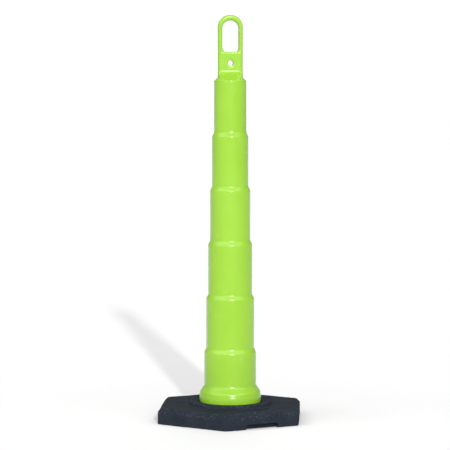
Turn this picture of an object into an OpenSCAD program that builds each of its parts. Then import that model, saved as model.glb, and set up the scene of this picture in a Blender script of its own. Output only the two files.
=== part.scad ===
// Looped channelizer cone: a hollow stepped tube with a loop handle, and the loose rubber base ring
// that drops over it and holds its foot down. Millimetres, +Z up, standing on z = 0.
// The handle plate lies in the XZ plane, and the tube's axis is the Z axis.

/* [Tube] */
// Overall height, from the floor to the top of the handle
overall_height = 1143; // [1138:1:1153]
// Distance from one ledge to the next: one reflective band and its ledge
tier_pitch = 152.4; // [150:0.1:153]
// Diameter of the topmost tier
top_tier_diameter = 91; // [89:0.5:92]
// Diameter gained at each ledge
tier_step = 11.1; // [10:0.1:11.2]
// Height of each S-shaped ledge
ledge_height = 16; // [10:1:22]
// Height of the lowest ledge's middle above the floor
first_ledge_z = 197; // [190:1:200]
// Wall thickness of the moulded tube
wall = 3.5; // [2.5:0.5:4]

/* [Foot] */
// Diameter of the bulging rim just above the base
rim_diameter = 175; // [173:0.5:175.5]
// Diameter of the neck that passes through the base
neck_diameter = 173; // [170:0.5:173]
// Height at which the foot's flare meets the lowest tier
flare_top_z = 101; // [95:1:110]
// Height of the flare's lower edge
flare_bottom_z = 74; // [70:1:80]
// Diameter of the flange under the base
flange_diameter = 224; // [200:1:230]
// Thickness of the flange
flange_thickness = 6.5; // [4:0.5:7.5]

/* [Handle] */
// Width of the handle plate
plate_width = 70; // [68:1:74]
// Thickness of the handle plate
plate_thickness = 24; // [20:1:26]
// Width of the loop's bar all round
bar_width = 12; // [10:0.5:13]
// Height of the bar over the top of the hand opening
crown_height = 16; // [13:0.5:18]
// Height of the hand opening
opening_height = 88; // [80:1:92]
// Radius of the opening's lower corners
opening_corner_radius = 8.5; // [5:0.5:10]
// Diameter of the hole for a warning light's bolt
light_hole_diameter = 15; // [13:0.5:16]
// Height of that hole above the floor
light_hole_z = 1007; // [1000:1:1012]
// Height where the plate runs into the tube's sloping front and back
slope_top_z = 984; // [980:1:990]
// Height where the plate's edges run into the shoulders
side_shoulder_z = 967; // [965:1:974]
// Height of the topmost tier's upper end
tube_top_z = 957.5; // [955:0.5:961]

/* [Rubber base] */
// Distance between opposite sides of the hexagon
across_flats = 393.7; // [385:0.1:400]
// Radius of the hexagon's upright corners
corner_radius = 10; // [5:1:15]
// Thickness from the floor to the flat top
base_thickness = 44.5; // [42:0.5:48]
// Height and width of the bevel round the top
bevel = 10.5; // [6:0.5:12]
// Diameter of the centre hole
centre_hole_diameter = 177; // [176:0.5:180]
// Diameter of the raised ring round the hole
ring_diameter = 236; // [230:1:240]
// Height of the raised ring above the flat top
ring_height = 8; // [4:0.5:8]
// Turn of the base about the tube's axis
base_turn = -10; // [-30:1:30]

/* [Hand slots] */
// Length of each slot
slot_length = 94; // [80:1:100]
// Width of each slot
slot_width = 28; // [24:1:32]
// Distance from the centre to a slot's centre line
slot_offset = 138; // [136:1:145]
// Width of the finger notch under each slot's side
notch_width = 98; // [80:1:105]
// Height of the finger notch
notch_height = 13; // [8:1:16]
// How far the finger notch reaches in from the side
notch_depth = 16; // [10:1:22]

/* [Hidden] */
$fn = 96;
cut = 1; // how far a cutting shape runs past the face it cuts
ledges = 5;
curve_steps = 6; // cone bands in one S-shaped ledge
top_r = top_tier_diameter / 2;
foot_r = top_r + ledges * tier_step / 2;
rim_r = rim_diameter / 2;
neck_r = neck_diameter / 2;
rim_top_r = rim_r - 1.5;
rim_low_z = flare_bottom_z - 20;
flange_r = flange_diameter / 2;
arch_z = overall_height - plate_width / 2;
arch_r = (plate_width - bar_width) / 2;
opening_half = plate_width / 2 - bar_width;
opening_floor_z = overall_height - crown_height - opening_height;
crown_thickness = plate_thickness - bar_width / 2;
bars_from_z = opening_floor_z + opening_corner_radius;
plate_half = plate_thickness / 2;
edge_r = bar_width / 2;
lower_plate_z = tube_top_z + 4;
recess_r = ring_diameter / 2 + 2; // takes the ring of the next base in a stack, and the foot's flange
recess_depth = ring_height + 0.5;
slot_side = -60; // direction of the first side that has a slot, before the base is turned
notch_inner = across_flats / 2 - notch_depth;
ring_chamfer = 2;
across_corners = across_flats / cos(30);
washer_seat_r = 13;
washer_seat_depth = 0.6;

lime = [0.70, 0.90, 0.33];
recycled_black = [0.20, 0.22, 0.25];

// Points of an S-shaped transition from radius r1 at z1 up to radius r2 at z2
function s_curve(r1, z1, r2, z2) =
    [for (i = [0:curve_steps]) let (t = i / curve_steps)
        [r1 + (r2 - r1) * (1 - cos(180 * t)) / 2, z1 + (z2 - z1) * t]];

// Tube profile above the neck, from the rim up to the topmost tier, moved inwards by inset
function tube_points(inset) = concat(
    [[rim_r - inset, rim_low_z + 6], [rim_r - inset, flare_bottom_z - 8]],
    s_curve(rim_top_r - inset, flare_bottom_z, foot_r - inset, flare_top_z),
    [for (k = [0:ledges - 1])
        each s_curve(foot_r - k * tier_step / 2 - inset,
                     first_ledge_z + k * tier_pitch - ledge_height / 2,
                     foot_r - (k + 1) * tier_step / 2 - inset,
                     first_ledge_z + k * tier_pitch + ledge_height / 2)]);

// Solid of the tube with its flange
module tube_outside() {
    rotate_extrude()
        polygon(concat(
            [[0, 0], [flange_r, 0], [flange_r, flange_thickness], [neck_r, flange_thickness],
             [neck_r, rim_low_z]],
            tube_points(0),
            [[top_r, tube_top_z], [0, tube_top_z]]));
}

// Nesting space inside the tube, open at the floor
module tube_inside() {
    rotate_extrude()
        polygon(concat(
            [[0, -cut], [neck_r - wall, -cut], [neck_r - wall, rim_low_z]],
            tube_points(wall),
            [[top_r - wall, tube_top_z + cut], [0, tube_top_z + cut]]));
}

// Blend between the round tube and the flat plate, made smaller all round by inset
module shoulder(inset) {
    r = top_r - inset;
    base_z = tube_top_z - inset;
    intersection() {
        translate([0, 0, base_z])
            cylinder(r = r, h = slope_top_z - base_z);
        rotate([90, 0, 90])
            linear_extrude(2 * r + 2 * cut, center = true)
                polygon([[-r, base_z], [-r, base_z + 2], [-plate_half + inset, slope_top_z - inset],
                         [plate_half - inset, slope_top_z - inset], [r, base_z + 2], [r, base_z]]);
        rotate([90, 0, 0])
            linear_extrude(2 * r + 2 * cut, center = true)
                polygon([[-r, base_z], [-r, base_z + 1], [-plate_width / 2 + inset, side_shoulder_z - inset],
                         [-plate_width / 2 + inset, slope_top_z + cut], [plate_width / 2 - inset, slope_top_z + cut],
                         [plate_width / 2 - inset, side_shoulder_z - inset], [r, base_z + 1], [r, base_z]]);
    }
}

// Rounded cross-section of a flat bar of the plate's thickness
module bar_section(width) {
    square([width - 2 * edge_r, plate_thickness], center = true);
    square([width, plate_thickness - 2 * edge_r], center = true);
    for (x = [-1, 1], y = [-1, 1])
        translate([x * (width / 2 - edge_r), y * (plate_half - edge_r)])
            circle(edge_r);
}

// Loop's bar, whose width is exactly two edge radii
module loop_section() {
    square([bar_width, plate_thickness - bar_width], center = true);
    for (y = [-1, 1])
        translate([0, y * (plate_half - edge_r)])
            circle(edge_r);
}

// Lower end of the hand opening, as a drawing in the plate's own plane
module opening_floor() {
    square_half = opening_half - opening_corner_radius;
    translate([-opening_half, bars_from_z])
        square([2 * opening_half, opening_corner_radius]);
    translate([-square_half, opening_floor_z])
        square([2 * square_half, 2 * opening_corner_radius]);
    for (x = [-1, 1])
        translate([x * square_half, bars_from_z])
            circle(opening_corner_radius);
}

// Flat plate and the loop above it
module handle() {
    difference() {
        translate([0, 0, lower_plate_z])
            linear_extrude(bars_from_z - lower_plate_z)
                bar_section(plate_width);
        rotate([90, 0, 0])
            linear_extrude(plate_thickness + 2 * cut, center = true)
                opening_floor();
    }
    for (x = [-1, 1])
        translate([x * arch_r, 0, bars_from_z])
            linear_extrude(arch_z - bars_from_z)
                loop_section();
    translate([0, 0, arch_z])
        rotate([90, 0, 0])
            rotate_extrude(angle = 180)
                translate([arch_r, 0])
                    loop_section();
    crown_fill();
}

// Crescent that makes the bar higher over the top of the opening
module crown_fill() {
    rotate([90, 0, 0])
        linear_extrude(crown_thickness, center = true)
            intersection() {
                difference() {
                    translate([0, arch_z])
                        circle(arch_r);
                    translate([0, arch_z - crown_height + bar_width])
                        circle(opening_half);
                }
                translate([-arch_r, arch_z])
                    square([2 * arch_r, arch_r]);
            }
}

// Hole for the light's bolt, in a shallow washer seat on both faces
module light_hole() {
    translate([0, 0, light_hole_z])
        rotate([90, 0, 0]) {
            cylinder(d = light_hole_diameter, h = plate_thickness + 2 * cut, center = true);
            for (side = [0, 180])
                rotate([side, 0, 0])
                    translate([0, 0, plate_half - washer_seat_depth])
                        cylinder(r = washer_seat_r, h = washer_seat_depth + cut);
        }
}

// One-piece lime tube, foot, flange and loop handle
module cone_body() {
    color(lime)
        difference() {
            union() {
                tube_outside();
                shoulder(0);
                handle();
            }
            tube_inside();
            shoulder(wall);
            light_hole();
        }
}

// Hexagon with rounded corners
module hexagon_outline() {
    corner_steps = 6;
    centre_r = across_corners / 2 - corner_radius / cos(30);
    polygon([for (k = [0:5], i = [0:corner_steps])
        let (toward = 60 * k - 90, a = toward - 30 + 60 * i / corner_steps)
            [centre_r * cos(toward) + corner_radius * cos(a),
             centre_r * sin(toward) + corner_radius * sin(a)]]);
}

// Slab whose two long top edges are bevelled, along one pair of the hexagon's sides
module bevelled_slab() {
    half = across_flats / 2;
    translate([0, across_flats, 0])
        rotate([90, 0, 0])
            linear_extrude(2 * across_flats)
                polygon([[-half, -cut], [half, -cut], [half, base_thickness - bevel],
                         [half - bevel, base_thickness], [bevel - half, base_thickness],
                         [-half, base_thickness - bevel]]);
}

// Hexagonal slab with a bevel round its top
module hexagon_slab() {
    intersection() {
        linear_extrude(base_thickness)
            hexagon_outline();
        bevelled_slab();
        rotate([0, 0, 60])
            bevelled_slab();
        rotate([0, 0, 120])
            bevelled_slab();
    }
}

// Raised ring round the centre hole
module raised_ring() {
    ring_r = ring_diameter / 2;
    ring_top = base_thickness + ring_height;
    rotate_extrude()
        polygon([[0, base_thickness - cut], [ring_r, base_thickness - cut],
                 [ring_r, ring_top - ring_chamfer], [ring_r - ring_chamfer, ring_top], [0, ring_top]]);
}

// One hand slot through the base, with the finger notch under the side it lies along
module hand_slot() {
    slot_r = slot_width / 2;
    translate([slot_offset, 0, -cut])
        linear_extrude(base_thickness + 2 * cut) {
            square([slot_width, slot_length - slot_width], center = true);
            for (y = [-1, 1])
                translate([0, y * (slot_length / 2 - slot_r)])
                    circle(slot_r);
        }
    translate([notch_inner, -notch_width / 2, -cut])
        cube([across_flats, notch_width, notch_height + cut]);
}

// One-piece recycled-rubber base
module rubber_base() {
    color(recycled_black)
        rotate([0, 0, base_turn])
            difference() {
                union() {
                    hexagon_slab();
                    raised_ring();
                }
                translate([0, 0, -cut])
                    cylinder(d = centre_hole_diameter, h = base_thickness + ring_height + 2 * cut);
                translate([0, 0, -cut])
                    cylinder(r = recess_r, h = recess_depth + cut);
                for (turn = [0, 180])
                    rotate([0, 0, slot_side + turn])
                        hand_slot();
            }
}

cone_body();
rubber_base();
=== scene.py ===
import math

import bmesh
import bpy
from mathutils import Matrix, Vector, noise


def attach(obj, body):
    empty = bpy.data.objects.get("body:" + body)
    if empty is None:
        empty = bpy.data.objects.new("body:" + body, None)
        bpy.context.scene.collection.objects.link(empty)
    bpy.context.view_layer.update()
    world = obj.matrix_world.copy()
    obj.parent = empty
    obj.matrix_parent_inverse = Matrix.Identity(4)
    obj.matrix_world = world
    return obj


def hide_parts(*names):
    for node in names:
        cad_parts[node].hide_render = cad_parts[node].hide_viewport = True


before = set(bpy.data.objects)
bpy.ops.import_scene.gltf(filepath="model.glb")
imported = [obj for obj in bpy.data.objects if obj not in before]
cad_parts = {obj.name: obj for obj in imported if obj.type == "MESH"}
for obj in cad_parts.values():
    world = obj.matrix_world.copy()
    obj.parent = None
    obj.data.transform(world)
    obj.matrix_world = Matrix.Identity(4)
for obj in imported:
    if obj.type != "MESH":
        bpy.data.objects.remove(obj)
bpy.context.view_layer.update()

MM = 0.001

# ---- sizes of the tube and handle, in millimetres ---------------------------------------
# They follow the CAD. The top is a hair lower, so that the skin stays inside the CAD's box, the
# hand opening has rounder corners, and the washer seat is a little smaller with a soft edge.
TOP_TIER_RADIUS = 45.5
TIER_STEP = 5.55
TIER_PITCH = 152.4
LEDGE_COUNT = 5
LEDGE_HEIGHT = 16.0
FIRST_LEDGE_Z = 197.0
FOOT_RADIUS = TOP_TIER_RADIUS + LEDGE_COUNT * TIER_STEP
TOP_LEDGE_END = FIRST_LEDGE_Z + (LEDGE_COUNT - 1) * TIER_PITCH + LEDGE_HEIGHT / 2
WALL = 3.5
FLANGE_RADIUS = 112.0
FLANGE_THICKNESS = 6.5
NECK_RADIUS = 86.5
RIM_RADIUS = 87.5
RIM_TOP_RADIUS = 86.0
RIM_LOW_Z = 54.0
FLARE_LOW_Z = 74.0
FLARE_TOP_Z = 101.0
TUBE_TOP_Z = 957.5
SIDE_SHOULDER_Z = 967.0
SLOPE_TOP_Z = 984.0
PLATE_HALF_WIDTH = 35.0
PLATE_HALF_DEPTH = 12.0
TOP_Z = 1142.5
CROWN_HEIGHT = 16.0
OPENING_HEIGHT = 87.5
OPENING_HALF_WIDTH = 23.0
OPENING_CORNER = 10.5
OPENING_FLOOR = TOP_Z - CROWN_HEIGHT - OPENING_HEIGHT
ARCH_Z = TOP_Z - PLATE_HALF_WIDTH
BAR_WIDTH = PLATE_HALF_WIDTH - OPENING_HALF_WIDTH
LIGHT_HOLE_Z = 1007.0
LIGHT_HOLE_RADIUS = 7.5
WASHER_SEAT_RADIUS = 12.6

# ---- sizes of the rubber base, in millimetres -------------------------------------------
FLATS = 393.7
SLAB_INSET = 0.3  # keeps the rough rubber inside the CAD's box
HEX_CORNER = 10.0
BASE_THICKNESS = 44.5
BEVEL = 10.5
HOLE_RADIUS = 88.5
RING_RADIUS = 118.0
RING_HEIGHT = 8.0
RECESS_RADIUS = 120.0
RECESS_DEPTH = 8.5
SLOT_LENGTH = 94.0
SLOT_WIDTH = 28.0
SLOT_OFFSET = 138.0
SLOT_SIDE = math.radians(-60)
NOTCH_LENGTH = 98.0
NOTCH_HEIGHT = 13.0
NOTCH_DEPTH = 16.0
BASE_TURN = math.radians(-10)
CUT_PAST = 5.0  # how far a cutting tool reaches past what it cuts

# ---- how finely curves are drawn --------------------------------------------------------
CORNER_STEPS = 8
LEDGE_STEPS = 12
TUBE_STEPS = 144
SHOULDER_STEPS = 224
DRILL_SIDES = 48
BASE_SIDES = 128
BAR_STEPS = 40
CROWN_STEPS = 48
FILLET_STEPS = 10
SLOT_END_STEPS = 16


# ---- mesh helpers -----------------------------------------------------------------------
def held(value):
    """The value kept between 0 and 1."""
    return min(1, max(0, value))


def link_object(name, data):
    obj = bpy.data.objects.new(name, data)
    bpy.context.scene.collection.objects.link(obj)
    return obj


def new_object(name, verts_mm, faces):
    mesh = bpy.data.meshes.new(name)
    mesh.from_pydata([(x * MM, y * MM, z * MM) for x, y, z in verts_mm], [], faces)
    mesh.validate()
    return link_object(name, mesh)


def lofted(name, rings, closed=True):
    """A skin through rings of points that all have the same count."""
    count = len(rings[0])
    verts = [point for ring in rings for point in ring]
    faces = []
    for i in range(len(rings) - 1):
        low = i * count
        high = low + count
        for j in range(count):
            k = (j + 1) % count
            faces.append((low + j, low + k, high + k, high + j))
    if closed:
        faces.append(tuple(reversed(range(count))))
        faces.append(tuple(range(len(verts) - count, len(verts))))
    return new_object(name, verts, faces)


def apply_modifiers(obj):
    depsgraph = bpy.context.evaluated_depsgraph_get()
    mesh = bpy.data.meshes.new_from_object(obj.evaluated_get(depsgraph))
    obj.modifiers.clear()
    old_mesh = obj.data
    obj.data = mesh
    bpy.data.meshes.remove(old_mesh)


def join(name, objects):
    merged = bmesh.new()
    for obj in objects:
        merged.from_mesh(obj.data)
        bpy.data.objects.remove(obj)
    mesh = bpy.data.meshes.new(name)
    merged.to_mesh(mesh)
    merged.free()
    return link_object(name, mesh)


def combine(obj, operation, tools):
    """Add the tools to an object, or cut them out of it, and delete them."""
    for tool in tools:
        boolean = obj.modifiers.new("combine", "BOOLEAN")
        boolean.operation = operation
        boolean.solver = "EXACT"
        boolean.object = tool
    apply_modifiers(obj)
    for tool in tools:
        bpy.data.objects.remove(tool)


def remesh(obj, voxel_mm, smoothings):
    voxels = obj.modifiers.new("voxels", "REMESH")
    voxels.mode = "VOXEL"
    voxels.voxel_size = voxel_mm * MM
    soft = obj.modifiers.new("soft", "SMOOTH")
    soft.factor = 0.5
    soft.iterations = smoothings
    apply_modifiers(obj)


def cylinder(name, radius, low_z, high_z, sides):
    turns = [2 * math.pi * i / sides for i in range(sides)]
    outline = [(radius * math.cos(turn), radius * math.sin(turn)) for turn in turns]
    return lofted(name, [[(x, y, z) for x, y in outline] for z in (low_z, high_z)])


def rounded_rectangle(half_x, half_y, right_radius, left_radius):
    """Outline points of a rectangle with round corners, anticlockwise."""
    points = []
    for quarter, (side_x, side_y) in enumerate(((1, 1), (-1, 1), (-1, -1), (1, -1))):
        radius = right_radius if side_x > 0 else left_radius
        for i in range(CORNER_STEPS + 1):
            angle = math.pi / 2 * (quarter + i / CORNER_STEPS)
            x = side_x * (half_x - radius) + radius * math.cos(angle)
            y = side_y * (half_y - radius) + radius * math.sin(angle)
            points.append((x, y))
    return points


def s_curve(start_radius, start_z, end_radius, end_z):
    """Radius and height along a soft step, upright at both ends."""
    points = []
    for i in range(LEDGE_STEPS + 1):
        share = (1 - math.cos(math.pi * i / LEDGE_STEPS)) / 2
        radius = start_radius + (end_radius - start_radius) * share
        points.append((radius, start_z + (end_z - start_z) * i / LEDGE_STEPS))
    return points


def dense(points, step):
    """The same line, with its points no further apart than step."""
    filled = []
    for (r1, z1), (r2, z2) in zip(points, points[1:]):
        parts = max(1, math.ceil(math.dist((r1, z1), (r2, z2)) / step))
        filled += [(r1 + (r2 - r1) * i / parts, z1 + (z2 - z1) * i / parts) for i in range(parts)]
    return filled + [points[-1]]


# ---- the mould's marks on the plastic ---------------------------------------------------
PARTING_HEIGHT = 0.35
PARTING_WIDTH = 0.55
PARTING_CLEARED = 0.035  # angle kept free of the even steps beside a parting line
PARTING_ANGLES = (-0.03, -0.015, -0.006, 0, 0.006, 0.015, 0.03)
SAG = 0.22
SAG_ROUND = 1.3
SAG_LENGTH = 70


def parting_line(distance):
    """Height of the mould's parting ridge at a distance from its middle."""
    return PARTING_HEIGHT * math.exp(-(distance / PARTING_WIDTH) ** 2)


def tube_angles():
    """Angles round the tube, with extra ones at the two parting lines."""
    whole = 2 * math.pi
    angles = {round(whole * i / TUBE_STEPS, 6) for i in range(TUBE_STEPS)}
    for side in (0, math.pi):
        angles = {a for a in angles if abs((a - side + math.pi) % whole - math.pi) > PARTING_CLEARED}
        angles |= {round((side + offset) % whole, 6) for offset in PARTING_ANGLES}
    return sorted(angles)


def revolved(name, profile, angles, ridge=True):
    """A slightly uneven skin of revolution, with the parting ridge if asked."""
    rings = []
    for radius, z in profile:
        ring = []
        for angle in angles:
            from_parting = min(abs(angle), abs(angle - math.pi), abs(angle - 2 * math.pi))
            lift = parting_line(from_parting * radius) if ridge else 0
            place = Vector((math.cos(angle) * SAG_ROUND, math.sin(angle) * SAG_ROUND, z / SAG_LENGTH))
            out = radius + lift + SAG * noise.noise(place)
            ring.append((out * math.cos(angle), out * math.sin(angle), z))
        rings.append(ring)
    return lofted(name, rings, closed=False)


# ---- the tube and foot ------------------------------------------------------------------
OUTSIDE_STEP = 6
INSIDE_STEP = 8
SEAM_LAP = 2  # the outer skin runs this far past the topmost ledge, and as far again tucked in
SEAM_TUCK = 0.8
LIP_CHAMFER = 0.5
LIP_HEIGHT = 2
DOME_FOOT_Z = TUBE_TOP_Z - 12
DOME_HEIGHT = 14
DOME_ANGLES = (0.3, 0.6, 0.9, 1.2, 1.45, 1.56)


def tier_profile(inset, last_z):
    """Radius and height from below the flare, over every ledge, up to last_z."""
    under_flare = ((1.2, 5.5), (0.6, 3))  # out from the flare's lower edge, and down from it
    points = [(RIM_TOP_RADIUS + out - inset, FLARE_LOW_Z - down) for out, down in under_flare]
    points += s_curve(RIM_TOP_RADIUS - inset, FLARE_LOW_Z, FOOT_RADIUS - inset, FLARE_TOP_Z)
    for k in range(LEDGE_COUNT):
        z = FIRST_LEDGE_Z + k * TIER_PITCH
        radius = FOOT_RADIUS - k * TIER_STEP - inset
        points += s_curve(radius, z - LEDGE_HEIGHT / 2, radius - TIER_STEP, z + LEDGE_HEIGHT / 2)
    return points + [(TOP_TIER_RADIUS - inset, last_z)]


def flange_profile():
    """The flange with its round edges, from its inner lip to the neck."""
    lower_edge = ((1.5, 0), (0.3, 0.8), (0, 2))  # in from the edge, and up from the floor
    upper_edge = ((0, 1.5), (1.2, 0))  # in from the edge, and down from the top
    neck_fillet = ((3, 0), (0.8, 0.9), (0, 3))  # out from the neck, and up from the top
    points = [(NECK_RADIUS - WALL + LIP_CHAMFER, 0)]
    points += [(FLANGE_RADIUS - inward, up) for inward, up in lower_edge]
    points += [(FLANGE_RADIUS - inward, FLANGE_THICKNESS - down) for inward, down in upper_edge]
    points += [(NECK_RADIUS + out, FLANGE_THICKNESS + up) for out, up in neck_fillet]
    return points


def rim_profile():
    """The neck's swelling into the rim, about the height where the rim starts."""
    neck = [(NECK_RADIUS - 0.6, RIM_LOW_Z - 7), (NECK_RADIUS, RIM_LOW_Z - 3)]
    rim = [(RIM_RADIUS - inward, RIM_LOW_Z + up) for inward, up in ((0.4, 1.5), (0, 6), (0, 10))]
    return neck + rim


def inside_profile():
    """The cavity's wall, from the open foot to its domed end under the shoulders."""
    inner_neck = NECK_RADIUS - WALL
    inner_top = TOP_TIER_RADIUS - WALL
    points = [(inner_neck + LIP_CHAMFER, 0), (inner_neck, LIP_HEIGHT), (inner_neck, RIM_LOW_Z)]
    points += tier_profile(WALL, DOME_FOOT_Z)
    points += [(inner_top * math.cos(t), DOME_FOOT_Z + DOME_HEIGHT * math.sin(t)) for t in DOME_ANGLES]
    return points


def tube_skins():
    seam_z = TOP_LEDGE_END + SEAM_LAP
    outside = dense(flange_profile() + rim_profile() + tier_profile(0, seam_z), OUTSIDE_STEP)
    outside.append((TOP_TIER_RADIUS - SEAM_TUCK, seam_z + SEAM_LAP))
    angles = tube_angles()
    outer = revolved("outer_skin", outside, angles)
    inner = revolved("inner_skin", dense(inside_profile(), INSIDE_STEP), angles[::2], ridge=False)
    inner.data.flip_normals()
    return [outer, inner]


# ---- the handle -------------------------------------------------------------------------
HANDLE_VOXEL = 1.5
HANDLE_SMOOTHINGS = 7
HANDLE_CUT_Z = TOP_LEDGE_END + 1
NECK_MIDDLE_Z = 900
SHOULDER_RISES = (1, 2, 3, 4.5, 6, 8, 9.5, 11, 14, 17, 20, 23, 26.5, 30)
SLOPE_EASE = 1.5
PLATE_SQUARENESS = 0.3
OUTER_EDGE_RADIUS = 6.2
INNER_EDGE_RADIUS = 5.2
OUTER_EDGE_EXTRA = 1.5  # the loop's outer edge is rounder where it runs into the plate
PLATE_EDGE_RADIUS = 8.4
DRILL_EXTRA = 0.15  # smoothing closes the light's hole by about this much


def shoulder_ring(z):
    """Cross-section between the round tube and the flat plate."""
    side = held((z - TUBE_TOP_Z) / (SIDE_SHOULDER_Z - TUBE_TOP_Z))
    front = held((z - TUBE_TOP_Z) / (SLOPE_TOP_Z - TUBE_TOP_Z))
    front = 1 - (1 - front) ** SLOPE_EASE
    ring = []
    for i in range(SHOULDER_STEPS):
        angle = 2 * math.pi * i / SHOULDER_STEPS
        across = math.cos(angle)
        deep = math.sin(angle)
        flat_x = math.copysign(PLATE_HALF_WIDTH * abs(across) ** PLATE_SQUARENESS, across)
        flat_y = math.copysign(PLATE_HALF_DEPTH * abs(deep) ** PLATE_SQUARENESS, deep)
        x = (1 - side) * TOP_TIER_RADIUS * across + side * flat_x
        y = (1 - front) * TOP_TIER_RADIUS * deep + front * flat_y
        ring.append((x, y, z))
    return ring


def neck():
    heights = [HANDLE_CUT_Z - 14, HANDLE_CUT_Z, NECK_MIDDLE_Z]
    heights += [TUBE_TOP_Z - 3, TUBE_TOP_Z - 1, TUBE_TOP_Z]
    heights += [TUBE_TOP_Z + rise for rise in SHOULDER_RISES]
    return lofted("neck", [shoulder_ring(z) for z in heights])


def loop_station(x, z, out_x, out_z, half_width, outer_radius):
    """Rounded cross-section of the loop's bar at one point of its middle line."""
    outline = rounded_rectangle(half_width, PLATE_HALF_DEPTH, outer_radius, INNER_EDGE_RADIUS)
    return [(x + out_x * across, -deep, z + out_z * across) for across, deep in outline]


def loop_side(side, heights):
    """Stations along one straight side of the loop; side is 1 or -1."""
    middle = side * (PLATE_HALF_WIDTH - BAR_WIDTH / 2)
    stations = []
    for z in heights:
        near_plate = held((OPENING_FLOOR + 12 - z) / 14)
        outer_radius = OUTER_EDGE_RADIUS + OUTER_EDGE_EXTRA * near_plate
        stations.append(loop_station(middle, z, side, 0, BAR_WIDTH / 2, outer_radius))
    return stations


def loop_crown():
    """Stations round the top of the loop, whose bar is thicker than at the sides."""
    drop = CROWN_HEIGHT - BAR_WIDTH
    stations = []
    for i in range(CROWN_STEPS + 1):
        angle = math.pi * i / CROWN_STEPS
        out_x = math.cos(angle)
        out_z = math.sin(angle)
        inner = -drop * out_z + math.sqrt(OPENING_HALF_WIDTH ** 2 - (drop * out_x) ** 2)
        middle = (PLATE_HALF_WIDTH + inner) / 2
        half_width = (PLATE_HALF_WIDTH - inner) / 2
        x = middle * out_x
        z = ARCH_Z + middle * out_z
        stations.append(loop_station(x, z, out_x, out_z, half_width, OUTER_EDGE_RADIUS))
    return stations


def loop_bar():
    low = OPENING_FLOOR - 6
    rise = ARCH_Z - low
    upward = [low + rise * i / BAR_STEPS for i in range(BAR_STEPS)]
    downward = [ARCH_Z - rise * i / BAR_STEPS for i in range(1, BAR_STEPS + 1)]
    return lofted("loop", loop_side(1, upward) + loop_crown() + loop_side(-1, downward))


def opening_corner(side):
    """Concave fillet in a lower corner of the hand opening; side is 1 or -1."""
    centre_x = side * (OPENING_HALF_WIDTH - OPENING_CORNER)
    centre_z = OPENING_FLOOR + OPENING_CORNER
    outline = []
    for i in range(FILLET_STEPS + 1):
        angle = math.pi / 2 * i / FILLET_STEPS
        x = centre_x + side * OPENING_CORNER * math.sin(angle)
        outline.append((x, centre_z - OPENING_CORNER * math.cos(angle)))
    in_bar = side * (OPENING_HALF_WIDTH + 3)
    in_plate = OPENING_FLOOR - 4
    outline += [(in_bar, centre_z), (in_bar, in_plate), (centre_x, in_plate)]
    if side > 0:
        outline.reverse()
    depth = PLATE_HALF_DEPTH - 2.2
    return lofted("fillet", [[(x, y, z) for x, z in outline] for y in (-depth, depth)])


def plate_ring(inset, z):
    radius = PLATE_EDGE_RADIUS - inset * 0.6
    outline = rounded_rectangle(PLATE_HALF_WIDTH - inset, PLATE_HALF_DEPTH - inset, radius, radius)
    return [(x, y, z) for x, y in outline]


def lower_plate():
    """The drilled plate between the shoulders and the hand opening, round at its top edge."""
    top_edge = ((0, -3.5), (0.6, -1.6), (2, -0.4), (4.2, 0.2))  # inset, and up from the opening
    rings = [plate_ring(0, SLOPE_TOP_Z - 12)]
    rings += [plate_ring(inset, OPENING_FLOOR + up) for inset, up in top_edge]
    plate = lofted("plate", rings)
    reach = 40
    drill = cylinder("drill", LIGHT_HOLE_RADIUS + DRILL_EXTRA, -reach, reach, DRILL_SIDES)
    lie_down = Matrix.Rotation(math.pi / 2, 4, "X")
    drill.data.transform(Matrix.Translation((0, 0, LIGHT_HOLE_Z * MM)) @ lie_down)
    combine(plate, "DIFFERENCE", [drill])
    return plate


def handle_push(x, y, z, normal):
    """How far, in millimetres, the handle's skin stands out at a point."""
    push = 0.0
    if z > TUBE_TOP_Z + 8:
        if abs(normal.y) < 0.9:
            push += 0.22 * math.exp(-(y / 0.9) ** 2)
        from_hole = math.hypot(x, z - LIGHT_HOLE_Z)
        if abs(normal.y) > 0.8:
            push -= 0.3 / (1 + math.exp((from_hole - WASHER_SEAT_RADIUS) * 1.6))
    elif abs(y) < 4:
        push += parting_line(abs(y))
    return push + 0.2 * noise.noise(Vector((x / 38, y / 38, z / SAG_LENGTH)))


def handle_skin():
    """One soft skin from the topmost ledge to the top of the loop."""
    skin = join("handle_skin", [neck(), lower_plate(), loop_bar(), opening_corner(1), opening_corner(-1)])
    remesh(skin, HANDLE_VOXEL, HANDLE_SMOOTHINGS)
    mesh = bmesh.new()
    mesh.from_mesh(skin.data)
    low = [face for face in mesh.faces if face.calc_center_median().z < HANDLE_CUT_Z * MM]
    bmesh.ops.delete(mesh, geom=low, context="FACES")
    mesh.normal_update()
    for vert in mesh.verts:
        x, y, z = (c / MM for c in vert.co)
        vert.co += vert.normal * handle_push(x, y, z, vert.normal) * MM
    mesh.to_mesh(skin.data)
    mesh.free()
    return skin


# ---- the rubber base --------------------------------------------------------------------
BASE_VOXEL = 1.96
BASE_SMOOTHINGS = 2
EDGE_REACH = 5
CRUMB = 3.1
CLUMP = 6.5
CLUMP_SHIFT = Vector((7, 3, 1))
CHIP = 4.6
CHIP_SHIFT = Vector((3, 9, 2))
CHIP_LEAST = 0.12
CHIP_DEPTH = 3.2
WAVE = 60
WAVE_HEIGHT = 0.7
FLOOR_BAND = 1.5  # below this height the rubber only gets thinner


def hexagon(half_flats, corner_radius):
    """Outline points of a hexagon with round corners, anticlockwise."""
    centre = (half_flats - corner_radius) / math.cos(math.pi / 6)
    points = []
    for k in range(6):
        toward = math.pi / 3 * k - math.pi / 2
        for i in range(CORNER_STEPS + 1):
            angle = toward + math.pi / 3 * (i / CORNER_STEPS - 0.5)
            x = centre * math.cos(toward) + corner_radius * math.cos(angle)
            y = centre * math.sin(toward) + corner_radius * math.sin(angle)
            points.append((x, y))
    return points


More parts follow.
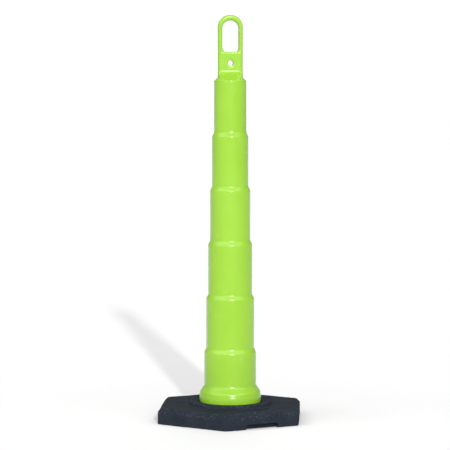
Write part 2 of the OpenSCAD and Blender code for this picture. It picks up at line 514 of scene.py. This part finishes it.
def slab_ring(inset, z):
    outline = hexagon(FLATS / 2 - SLAB_INSET - inset, HEX_CORNER - inset * 0.35)
    return [(x, y, z) for x, y in outline]


def slab():
    """The hexagon with a softened foot and both edges of its bevel softened too."""
    bevel_z = BASE_THICKNESS - BEVEL
    foot = [(1.2, 0), (0, 1.6)]
    bevel_low = [(0, bevel_z - 1.2), (0.7, bevel_z + 0.6)]
    bevel_high = [(BEVEL - 1.2, BASE_THICKNESS - 0.8), (BEVEL + 1.0, BASE_THICKNESS)]
    return lofted("slab", [slab_ring(inset, z) for inset, z in foot + bevel_low + bevel_high])


def slot_cutter():
    """A long hole with half-round ends, right through the base."""
    end_radius = SLOT_WIDTH / 2
    outline = []
    for end in (1, -1):
        for i in range(SLOT_END_STEPS + 1):
            angle = math.pi * i / SLOT_END_STEPS
            x = SLOT_OFFSET + end * end_radius * math.cos(angle)
            y = end * ((SLOT_LENGTH - SLOT_WIDTH) / 2 + end_radius * math.sin(angle))
            outline.append((x, y))
    ends = (-CUT_PAST, BASE_THICKNESS + CUT_PAST)
    return lofted("slot", [[(x, y, z) for x, y in outline] for z in ends])


def notch_cutter():
    """A shallow arch with round upper corners, in from the side of the base."""
    half = NOTCH_LENGTH / 2
    corner = [(half, NOTCH_HEIGHT - 4), (half - 1.2, NOTCH_HEIGHT - 1.2), (half - 4, NOTCH_HEIGHT)]
    right = [(half, -CUT_PAST)] + corner
    left = [(-y, z) for y, z in reversed(right)]
    arch = left[-1:] + right + left[:-1]
    ends = (FLATS / 2 - NOTCH_DEPTH, FLATS)
    return lofted("notch", [[(x, y, z) for y, z in arch] for x in ends])


def hand_cutters(side_angle):
    tools = [slot_cutter(), notch_cutter()]
    for tool in tools:
        tool.data.transform(Matrix.Rotation(side_angle, 4, "Z"))
    return tools


def edge_wear(x, y, z):
    """How near a point of the base lies to an outer edge, from 0 to 1."""
    sides = [math.pi / 3 * k for k in range(3)]
    across = max(abs(x * math.cos(side) + y * math.sin(side)) for side in sides)
    from_axis = math.hypot(x, y)
    ring_top = BASE_THICKNESS + RING_HEIGHT
    side_edge = math.hypot(across - FLATS / 2, z - (BASE_THICKNESS - BEVEL))
    top_edge = math.hypot(across - FLATS / 2 + BEVEL, z - BASE_THICKNESS)
    ring_edge = math.hypot(from_axis - RING_RADIUS, z - ring_top)
    hole_edge = math.hypot(from_axis - HOLE_RADIUS, z - ring_top)
    foot_edge = math.hypot(across - FLATS / 2, z)
    return math.exp(-min(side_edge, top_edge, ring_edge, hole_edge, foot_edge) / EDGE_REACH)


def rubber_push(point, wear):
    """How far, in millimetres, the crumb rubber stands out at a point."""
    rough = 0.5 * noise.noise(point / CRUMB) + 0.35 * noise.noise(point / CLUMP + CLUMP_SHIFT)
    wave = WAVE_HEIGHT * noise.noise(point / WAVE)
    chip = max(0, noise.noise(point / CHIP + CHIP_SHIFT) - CHIP_LEAST) * wear
    push = (0.12 + 0.9 * wear) * rough * 0.8 + wave - CHIP_DEPTH * chip
    return min(push, 0) if point.z < FLOOR_BAND else push


def base_solid():
    """The base as moulded: slab and ring, with its hole, recess, slots and notches."""
    body = slab()
    ring_top = BASE_THICKNESS + RING_HEIGHT
    ring = cylinder("ring", RING_RADIUS, BASE_THICKNESS - 6, ring_top, BASE_SIDES)
    combine(body, "UNION", [ring])
    hole = cylinder("hole", HOLE_RADIUS, -CUT_PAST, ring_top + CUT_PAST, BASE_SIDES)
    recess = cylinder("recess", RECESS_RADIUS, -CUT_PAST, RECESS_DEPTH, BASE_SIDES)
    combine(body, "DIFFERENCE", [hole, recess] + hand_cutters(SLOT_SIDE) + hand_cutters(SLOT_SIDE + math.pi))
    return body


def base_skin():
    """The base with its rough, chipped surface, and the wear kept for the material."""
    body = base_solid()
    remesh(body, BASE_VOXEL, BASE_SMOOTHINGS)
    mesh = bmesh.new()
    mesh.from_mesh(body.data)
    mesh.normal_update()
    values = []
    for vert in mesh.verts:
        x, y, z = (c / MM for c in vert.co)
        wear = edge_wear(x, y, z)
        values.append(wear)
        vert.co += vert.normal * rubber_push(Vector((x, y, z)), wear) * MM
        vert.co.z = max(vert.co.z, 0)
    mesh.to_mesh(body.data)
    mesh.free()
    attribute = body.data.attributes.new("edge", "FLOAT", "POINT")
    attribute.data.foreach_set("value", values)
    body.data.transform(Matrix.Rotation(BASE_TURN, 4, "Z"))
    return body


# ---- shader nodes -----------------------------------------------------------------------
class NodeTree:
    """Short calls for building a tree of shader nodes."""

    def __init__(self, tree):
        self.tree = tree

    def node(self, kind, **settings):
        """A new node; numbers are set on its sockets by name, with _ for a space."""
        node = self.tree.nodes.new(kind)
        for key, value in settings.items():
            node.inputs[key.replace("_", " ")].default_value = value
        return node

    def link(self, output, socket):
        self.tree.links.new(output, socket)

    def feed(self, value, socket):
        """Put a number or another node's output into a socket."""
        if isinstance(value, bpy.types.NodeSocket):
            self.link(value, socket)
        else:
            socket.default_value = value

    def span(self, value, low, high, to_low=0.0, to_high=1.0):
        """The value spread from low..high to to_low..to_high, and held there."""
        node = self.node("ShaderNodeMapRange", From_Min=low, From_Max=high, To_Min=to_low, To_Max=to_high)
        self.link(value, node.inputs["Value"])
        return node.outputs["Result"]

    def calculate(self, operation, first, second):
        node = self.node("ShaderNodeMath")
        node.operation = operation
        self.feed(first, node.inputs[0])
        self.feed(second, node.inputs[1])
        return node.outputs[0]


class Material(NodeTree):
    """One procedural material, placed by the piece's own coordinates."""

    def __init__(self, name):
        self.material = bpy.data.materials.new(name)
        self.material.use_nodes = True
        super().__init__(self.material.node_tree)
        self.tree.nodes.clear()
        self.shader = self.node("ShaderNodeBsdfPrincipled")
        self.link(self.shader.outputs[0], self.node("ShaderNodeOutputMaterial").inputs[0])
        self.place = self.node("ShaderNodeTexCoord").outputs["Object"]

    def noise(self, scale, detail=3, rough=0.5, stretch=None):
        node = self.node("ShaderNodeTexNoise", Scale=scale, Detail=detail, Roughness=rough)
        place = self.place
        if stretch:
            mapping = self.node("ShaderNodeMapping", Scale=stretch)
            self.link(place, mapping.inputs["Vector"])
            place = mapping.outputs[0]
        self.link(place, node.inputs["Vector"])
        return node.outputs["Fac"]

    def cells(self, scale, output="Color"):
        node = self.node("ShaderNodeTexVoronoi", Scale=scale)
        self.link(self.place, node.inputs["Vector"])
        return node.outputs[output]

    def attribute(self, name):
        node = self.node("ShaderNodeAttribute")
        node.attribute_name = name
        return node.outputs["Fac"]

    def mix(self, amount, first, second):
        """A colour between the first, at amount 0, and the second, at 1."""
        node = self.node("ShaderNodeMix")
        node.data_type = "RGBA"
        self.link(amount, node.inputs["Factor"])
        self.feed(first, node.inputs[6])
        self.feed(second, node.inputs[7])
        return node.outputs[2]

    def bump(self, height, strength, distance, normal=None):
        node = self.node("ShaderNodeBump", Strength=strength, Distance=distance)
        self.link(height, node.inputs["Height"])
        if normal:
            self.link(normal, node.inputs["Normal"])
        return node.outputs[0]

    def finish(self, colour, roughness, normal=None, **constants):
        self.link(colour, self.shader.inputs["Base Color"])
        self.feed(roughness, self.shader.inputs["Roughness"])
        if normal:
            self.link(normal, self.shader.inputs["Normal"])
        for key, value in constants.items():
            self.shader.inputs[key.replace("_", " ")].default_value = value
        return self.material


# ---- materials --------------------------------------------------------------------------
LIME = (0.201, 0.387, 0.022, 1)
LIME_CLOUD = (0.216, 0.409, 0.027, 1)
LIME_STREAK = (0.229, 0.416, 0.039, 1)
LIME_DUST = (0.156, 0.290, 0.024, 1)
LIME_SCUFF = (0.272, 0.437, 0.080, 1)
RUBBER_DARK = (0.0062, 0.0088, 0.0132, 1)
RUBBER_LIGHT = (0.0140, 0.0192, 0.0276, 1)
RUBBER_PATCH = (0.0175, 0.0238, 0.0345, 1)
RUBBER_FLECK = (0.075, 0.085, 0.100, 1)
FLOOR_DARK = (0.70, 0.70, 0.70, 1)
FLOOR_LIGHT = (0.71, 0.71, 0.71, 1)
CRUMBS_PER_METRE = 520


def lime_colour(lime):
    """Faint clouds and upright streaks in the plastic, with specks of dust and pale scuffs."""
    clouds = lime.span(lime.noise(9, rough=0.55), 0.35, 0.65)
    colour = lime.mix(clouds, LIME, LIME_CLOUD)
    streaks = lime.noise(26, rough=0.6, stretch=(1, 1, 0.12))
    colour = lime.mix(lime.span(streaks, 0.45, 0.75, to_high=0.35), colour, LIME_STREAK)
    specks = lime.span(lime.noise(310, detail=2), 0.60, 0.72)
    dusty = lime.span(lime.noise(14, detail=2), 0.45, 0.7, to_high=0.04)
    colour = lime.mix(lime.calculate("MULTIPLY", specks, dusty), colour, LIME_DUST)
    scuffs = lime.span(lime.noise(90, detail=4, rough=0.65, stretch=(1, 1, 0.35)), 0.60, 0.68)
    scuffed = lime.span(lime.noise(18, detail=2), 0.50, 0.62, to_high=0.5)
    return lime.mix(lime.calculate("MULTIPLY", scuffs, scuffed), colour, LIME_SCUFF)


def lime_plastic():
    lime = Material("lime_polyethylene")
    roughness = lime.span(lime.noise(60, rough=0.6), 0.3, 0.7, to_low=0.21, to_high=0.26)
    grain = lime.bump(lime.noise(900, detail=2), strength=0.08, distance=0.0004)
    ripple = lime.bump(lime.noise(110, detail=2), strength=0.06, distance=0.0006, normal=grain)
    return lime.finish(lime_colour(lime), roughness, ripple, IOR=1.51, Specular_IOR_Level=0.36)


def rubber_colour(rubber):
    """Crumbs of two shades in soft patches, with pale flecks, most of them at worn edges."""
    crumbs = rubber.node("ShaderNodeSeparateColor")
    rubber.link(rubber.cells(CRUMBS_PER_METRE), crumbs.inputs[0])
    colour = rubber.mix(rubber.span(crumbs.outputs[0], 0, 1), RUBBER_DARK, RUBBER_LIGHT)
    patches = rubber.span(rubber.noise(22, detail=4, rough=0.6), 0.35, 0.7, to_high=0.6)
    colour = rubber.mix(patches, colour, RUBBER_PATCH)
    flecks = rubber.span(crumbs.outputs[1], 0.88, 0.95)
    worn = rubber.span(rubber.attribute("edge"), 0.15, 0.8, to_high=0.75)
    scattered = rubber.span(rubber.noise(30, detail=2), 0.52, 0.68, to_high=0.35)
    where = rubber.calculate("ADD", worn, scattered)
    return rubber.mix(rubber.calculate("MULTIPLY", flecks, where), colour, RUBBER_FLECK)


def crumb_rubber():
    rubber = Material("recycled_rubber")
    roughness = rubber.span(rubber.noise(240, rough=0.6), 0.3, 0.7, to_low=0.72, to_high=0.92)
    grain = rubber.bump(rubber.cells(CRUMBS_PER_METRE, "Distance"), strength=0.35, distance=0.0007)
    lumps = rubber.bump(rubber.noise(170, detail=4, rough=0.6), strength=0.30, distance=0.0010, normal=grain)
    return rubber.finish(rubber_colour(rubber), roughness, lumps, IOR=1.5, Specular_IOR_Level=0.10)


def floor_white():
    white = Material("floor_white")
    colour = white.mix(white.span(white.noise(3, detail=2), 0.3, 0.7), FLOOR_DARK, FLOOR_LIGHT)
    return white.finish(colour, 0.9, Specular_IOR_Level=0.0)


# ---- pieces -----------------------------------------------------------------------------
def finish_piece(obj, material, body, node):
    obj.data.materials.clear()
    obj.data.materials.append(material)
    for polygon in obj.data.polygons:
        polygon.use_smooth = True
    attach(obj, body)
    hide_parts(node)


cone = join("cone_shell", [handle_skin()] + tube_skins())
finish_piece(cone, lime_plastic(), "cone", "cone_body")
base = base_skin()
base.name = "base_ring"
finish_piece(base, crumb_rubber(), "base", "rubber_base")


# ---- floor and lights -------------------------------------------------------------------
FLOOR_REACH = 300000


def sun_light(name, azimuth, elevation, softness, power):
    """A distant light; its angles are in degrees, with azimuth 0 on the -Y side."""
    data = bpy.data.lights.new(name, "SUN")
    data.angle = math.radians(softness)
    data.energy = power
    turn = math.radians(azimuth)
    rise = math.radians(elevation)
    level = math.cos(rise)
    toward = Vector((math.sin(turn) * level, -math.cos(turn) * level, math.sin(rise)))
    link_object(name, data).rotation_euler = toward.to_track_quat("Z", "Y").to_euler()


floor_corners = [(FLOOR_REACH * x, FLOOR_REACH * y, 0) for x, y in ((-1, -1), (1, -1), (1, 1), (-1, 1))]
floor = new_object("floor", floor_corners, [(0, 1, 2, 3)])
floor.data.materials.append(floor_white())
sun_light("key", azimuth=2.4, elevation=19.5, softness=2, power=2.5)
sun_light("overhead", azimuth=165, elevation=62, softness=28, power=0.6)


# ---- the bright studio round the object -------------------------------------------------
CAMERA_TURN = math.radians(-6.9)
BACKDROP_TOWARD = (-math.sin(CAMERA_TURN), math.cos(CAMERA_TURN), 0)
BACKDROP_POWER = 0.72
SOFTBOX_SIDE = (-0.26, -0.96, 0)
SOFTBOX_POWER = 3.1
FILL_SIDE = (-0.62, -0.77, 0.1)
FILL_POWER = 0.6
ROOM_POWER = 0.38


def toward(sky, direction):
    """How nearly a ray of the world points in a direction: 1 straight at it, -1 away."""
    node = sky.node("ShaderNodeVectorMath")
    node.operation = "DOT_PRODUCT"
    sky.link(sky.node("ShaderNodeTexCoord").outputs["Generated"], node.inputs[0])
    node.inputs[1].default_value = direction
    return node.outputs["Value"]


def softbox_band(sky):
    """A broad soft light high up, on the front side only."""
    up = toward(sky, (0, 0, 1))
    lower_edge = sky.span(up, 0.42, 0.50, to_high=SOFTBOX_POWER)
    upper_edge = sky.span(up, 0.78, 0.70)
    band = sky.calculate("MULTIPLY", lower_edge, upper_edge)
    return sky.calculate("MULTIPLY", band, sky.span(toward(sky, SOFTBOX_SIDE), -0.1, 0.25))


def studio_world():
    world = bpy.data.worlds.new("studio")
    bpy.context.scene.world = world
    world.use_nodes = True
    sky = NodeTree(world.node_tree)
    backdrop = sky.span(toward(sky, BACKDROP_TOWARD), 0.966, 0.987, to_high=BACKDROP_POWER)
    fill = sky.span(toward(sky, FILL_SIDE), 0.1, 0.95, to_high=FILL_POWER)
    light = sky.calculate("ADD", backdrop, softbox_band(sky))
    light = sky.calculate("ADD", light, fill)
    light = sky.calculate("ADD", light, ROOM_POWER)
    background = world.node_tree.nodes["Background"]
    background.inputs["Color"].default_value = (1, 1, 1, 1)
    sky.link(light, background.inputs["Strength"])


studio_world()
bpy.context.scene.view_settings.view_transform = "Standard"

# ---- camera, fitted to the photograph ---------------------------------------------------
CAMERA_LENS = 151.4
CAMERA_SENSOR = 36
CAMERA_DISTANCE = 5.339
CAMERA_HEIGHT = 0.870
CAMERA_TILT = 0.05965
CAMERA_ASIDE = 0.00277

camera_data = bpy.data.cameras.new("camera")
camera_data.lens = CAMERA_LENS
camera_data.sensor_width = CAMERA_SENSOR
camera = link_object("camera", camera_data)
camera_x = CAMERA_DISTANCE * math.sin(CAMERA_TURN)
camera_y = -CAMERA_DISTANCE * math.cos(CAMERA_TURN)
camera.location = (camera_x, camera_y, CAMERA_HEIGHT)
camera.rotation_euler = (math.pi / 2 - CAMERA_TILT, 0, CAMERA_TURN + CAMERA_ASIDE)
bpy.context.scene.camera = camera
